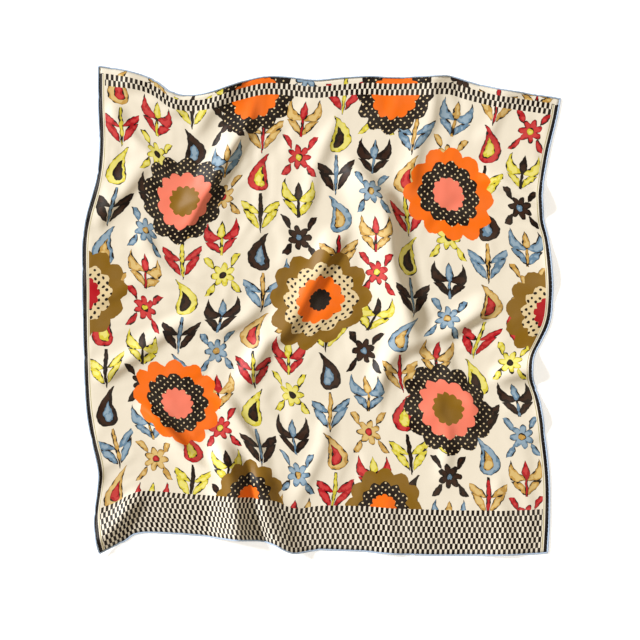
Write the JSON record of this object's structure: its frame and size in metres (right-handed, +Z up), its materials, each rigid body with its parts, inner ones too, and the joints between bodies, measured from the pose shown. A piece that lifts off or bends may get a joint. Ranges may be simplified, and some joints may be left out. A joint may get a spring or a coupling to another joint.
{
  "type": "silk square scarf",
  "caption": "Square printed silk scarf with hand-rolled hems, laid flat on a surface in loose soft ripples.",
  "frame": {"origin": "on the surface that the scarf lies on, under the middle of its box", "axes": "+Z up, +Y to the scarf's top edge, +X to its right edge as seen from above"},
  "size_m": [0.8648, 0.8842, 0.0367],
  "materials": {
    "printed_silk": "printed silk twill with a soft sheen",
    "hem_silk": "pale blue silk twill, hand rolled"
  },
  "bodies": {
    "root": {"cloth_square": "printed_silk", "hem_top": "hem_silk", "hem_bottom": "hem_silk", "hem_left": "hem_silk", "hem_right": "hem_silk"}
  },
  "joints": []
}
